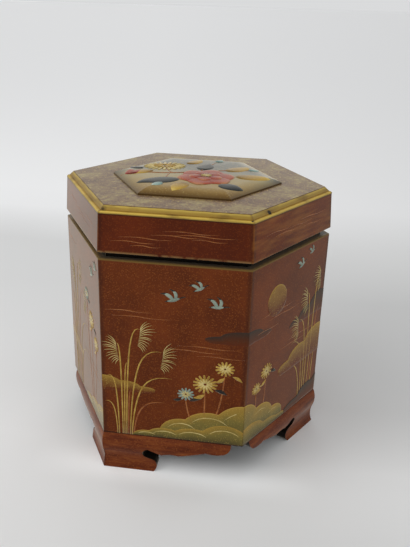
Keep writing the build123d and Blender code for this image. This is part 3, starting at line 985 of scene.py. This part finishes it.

# %% [markdown]
# ## The plaque's ground
#
# The plaque is a cushion of lacquer, dusted ochre gold at the front, pale in the middle and slate at the
# back, like an evening sky over a field. A colour ramp from front to back gives that, with noise so that
# the bands drift. The foot of the cushion carries painted shade at the front and a painted highlight at the
# back, and its upright edge is dark as painted shade.

# %% The plaque's ground
PLAQUE_LOW, PLAQUE_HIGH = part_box("lid_plaque")
PLAQUE_EDGE = 0.8 * MM  # how far its upright edge shows over the lid top
PLAQUE_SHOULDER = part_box("lid_top")[1].z + PLAQUE_EDGE
plaque_lacquer, add, place = new_finish("banded_gold_lacquer_polished")
x, y, z = add("SeparateXYZ", [place]).outputs
depth = add("MapRange", [y, PLAQUE_LOW.y, PLAQUE_HIGH.y])
drifts = add("TexNoise", [place, 1 / (18 * MM), 4.0])
drifted = add("Math", [drifts, 0.3, depth], operation="MULTIPLY_ADD")
sky = add("ValToRGB", [drifted], stops=[
    (0.15, "#84642c"), (0.36, "#9a8048"), (0.54, "#9a8e66"), (0.68, "#73756a"), (0.82, "#484f51"),
    (1.0, "#545d5e")])
dusted = sprinkle(add, place, sky, "#b59c5c", flake=0.8, share=0.35)
# Painted light at the foot of the cushion: shade at the front, a highlight at the back.
painted_light_at_cushion_foot = add("MapRange", [z, PLAQUE_SHOULDER + 1.9 * MM, PLAQUE_SHOULDER, 0.0, 0.75])
behind = add("MapRange", [depth, 0.5, 0.8])
cushion_foot_shade_and_highlight = add("Mix", [behind, "#3e2a10", "#c8bf9c"])
lined = add("Mix", [painted_light_at_cushion_foot, dusted, cushion_foot_shade_and_highlight])
# The upright edge is dark brown, painted shade.
upright = add("Math", [z, PLAQUE_SHOULDER - 0.1 * MM], operation="LESS_THAN")
edged = add("Mix", [upright, lined, "#5a4222"])
lacquer(add, place, edged, milky=0.8)
dress("lid_plaque", plaque_lacquer)

# %% [markdown]
# ## The plaque's flowers
#
# A camellia with its leaves lies on the plaque, with a chrysanthemum and buds, in low relief. A petal or a
# leaf is a small grid, narrowed to its tip, raised along its middle and turned into place. A brush could
# paint it flat, but the light on a raised petal is what makes such a plaque lively. Each piece is draped
# over the cushion: a ray from above finds the height of the cushion at every point.

# %% Petals draped over the plaque
plaque_form = bmesh.new()
plaque_form.from_mesh(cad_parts["lid_plaque"].data)
cushion = BVHTree.FromBMesh(plaque_form)
plaque_form.free()
ABOVE = PLAQUE_HIGH.z + 20 * MM
PETAL_RAISED = 0.12  # mm just inside the rim
PETAL_CROWN = 0.3  # mm more along the middle
PETAL_STEP = 0.02  # mm that each petal lies over the one before
PETAL_JOIN = 0.005  # mm, points of a petal that are nearer than this are one
print("rise of the cushion in mm:", round((PLAQUE_HIGH.z - PLAQUE_SHOULDER) / MM, 1))


def drape(form):
    """Lays a form, in millimetres on the plaque, over the cushion."""
    for corner in form.verts:
        spot = cushion.ray_cast(Vector((corner.co.x * MM, corner.co.y * MM, ABOVE)), Vector((0, 0, -1)))[0]
        corner.co = spot + Vector((0, 0, corner.co.z * MM))


def petal_sheets(sheets, layer, widest):
    """Petals or leaves, each with its foot, direction in degrees, length and width."""
    form = bmesh.new()
    form.loops.layers.uv.new("bank")
    for count, (x, y, degrees, length, width) in enumerate(sheets):
        made = bmesh.ops.create_grid(form, x_segments=10, y_segments=12, size=1.0, calc_uvs=True)
        for corner in made["verts"]:
            aside, along = corner.co.x, (corner.co.y + 1) / 2
            half = 0.5 * width * sin(pi * along ** widest) ** 0.8
            rim = abs(aside) > BORDER or along in (0.0, 1.0)
            raised = -RIM_SUNK if rim else PETAL_RAISED + PETAL_CROWN * (1 - aside ** 2)
            corner.co = (length * along, -half * aside, layer + PETAL_STEP * count + raised)
        bmesh.ops.rotate(form, matrix=Matrix.Rotation(radians(degrees), 3, "Z"), verts=made["verts"])
        bmesh.ops.translate(form, vec=(x, y, 0), verts=made["verts"])
    bmesh.ops.remove_doubles(form, verts=form.verts, dist=PETAL_JOIN)
    drape(form)
    return form


# %% Colours of the flowers
FLOWER_POWDERS = {
    "coral": graded("coral_powder_graded", [
        (0.0, "#5e180e"), (0.35, "#862a18"), (0.7, "#9c442e"), (1.0, "#ac6244")], "#b88660", milky=0.35),
    "leaf": graded("charcoal_powder_graded", [
        (0.0, "#2c302c"), (0.5, "#1d2122"), (1.0, "#2b2f30")], "#4c4a3c", milky=0.35),
    "gold_leaf": graded("gold_powder_leaves", [
        (0.0, "#6b4f1e"), (0.4, "#a07c30"), (1.0, "#c4a248")], "#d2b868", milky=0.35),
    "bud": graded("ground_shell_graded", [
        (0.0, "#5d7a74"), (0.5, "#86a098"), (1.0, "#a9bbae")], "#c0c8b4", milky=0.35),
}

# %% Flowers on the plaque
CAMELLIA = (7.0, -11.0)
DAISY = (-20.0, 10.0)


def ring(centre, start, count, near, *petal):
    """Petals around a centre, each with its foot and direction before its other measures."""
    turns = [start + 360 * number / count for number in range(count)]
    return [(centre[0] + near * cos(radians(turn)), centre[1] + near * sin(radians(turn)), turn, *petal)
            for turn in turns]


FLOWERS = [  # name, powder, height in mm, how far out the petals are widest, and the petals
    ("dark_leaves", "leaf", 0.0, 0.8, [
        (-6, -18, 200, 24, 13), (15, -25, -10, 14, 11), (2, 4, 80, 17, 10), (-31, 2, 150, 10, 6)]),
    ("gilt_leaves", "gold_leaf", 0.05, 0.8, [
        (22, -6, 12, 20, 11), (16, 5, 50, 19, 10), (-2, -24, 250, 14, 9), (-24, -2, 210, 15, 8),
        (-8, 18, 60, 14, 8)]),
    ("camellia_outer", "coral", 0.15, 1.2, ring(CAMELLIA, 20, 6, 2.0, 14.0, 14.5)),
    ("camellia_inner", "coral", 0.55, 1.2, ring(CAMELLIA, 50, 5, 1.0, 8.5, 8.5)),
    ("camellia_bud", "coral", 0.15, 0.8, [(-34, -10, 115, 9, 7), (-34, -10, 70, 8, 6)]),
    ("shell_buds", "bud", 0.15, 0.8, [(28, 12, 35, 7, 5), (-14, -27, 230, 7, 5), (8, 28, 70, 7, 5)]),
]
for name, powder_name, layer, widest, sheets in FLOWERS:
    slot = "gilt" if powder_name == "gold_leaf" else "plaque_lacquer"
    keep(petal_sheets(sheets, layer, widest), f"plaque_{name}", FLOWER_POWDERS[powder_name], "lid")
print("flowers on the plaque:", len(FLOWERS))

# %% Strokes on the plaque
stamens = [[(*CAMELLIA, 0.5), (x, y, width)] for x, y, turn, width in ring(CAMELLIA, 0, 12, 3.0, 0.7)]
branch = [(-41, -9, 0.6), (-30, -6, 1.2), (-14, -7, 1.5), (2, 0, 1.4), (18, 8, 1.2), (36, 15, 0.5)]
twigs = [[(-14, -7, 0.9), (-15, -16, 0.8), (-14, -27, 0.4)], [(2, 0, 1.0), (4, 14, 0.9), (8, 28, 0.4)],
         [(-12, -6, 0.8), (-17, 0, 0.8), (-20, 8, 0.5)]]
PLAQUE_STROKES = {
    "stamens": ("pale", 1.1, stamens),
    "branch": ("russet", 0.02, [branch, *twigs]),
    "chrysanthemum": ("pale", 0.15, petals(*DAISY, 12.0, 22)),
    "chrysanthemum_heart": ("gold", 0.5, petals(*DAISY, 6.5, 14, turn=0.2)),
}
for name, (kind, layer, lines) in PLAQUE_STROKES.items():
    finish, slot = POWDERS[kind][:2]
    form = brush(lines, flatness=0.35)
    bmesh.ops.translate(form, vec=(0, 0, layer), verts=form.verts)
    drape(form)
    keep(form, f"plaque_{name}", finish, "lid")
print("strokes on the plaque:", sum(len(lines) for kind, layer, lines in PLAQUE_STROKES.values()))
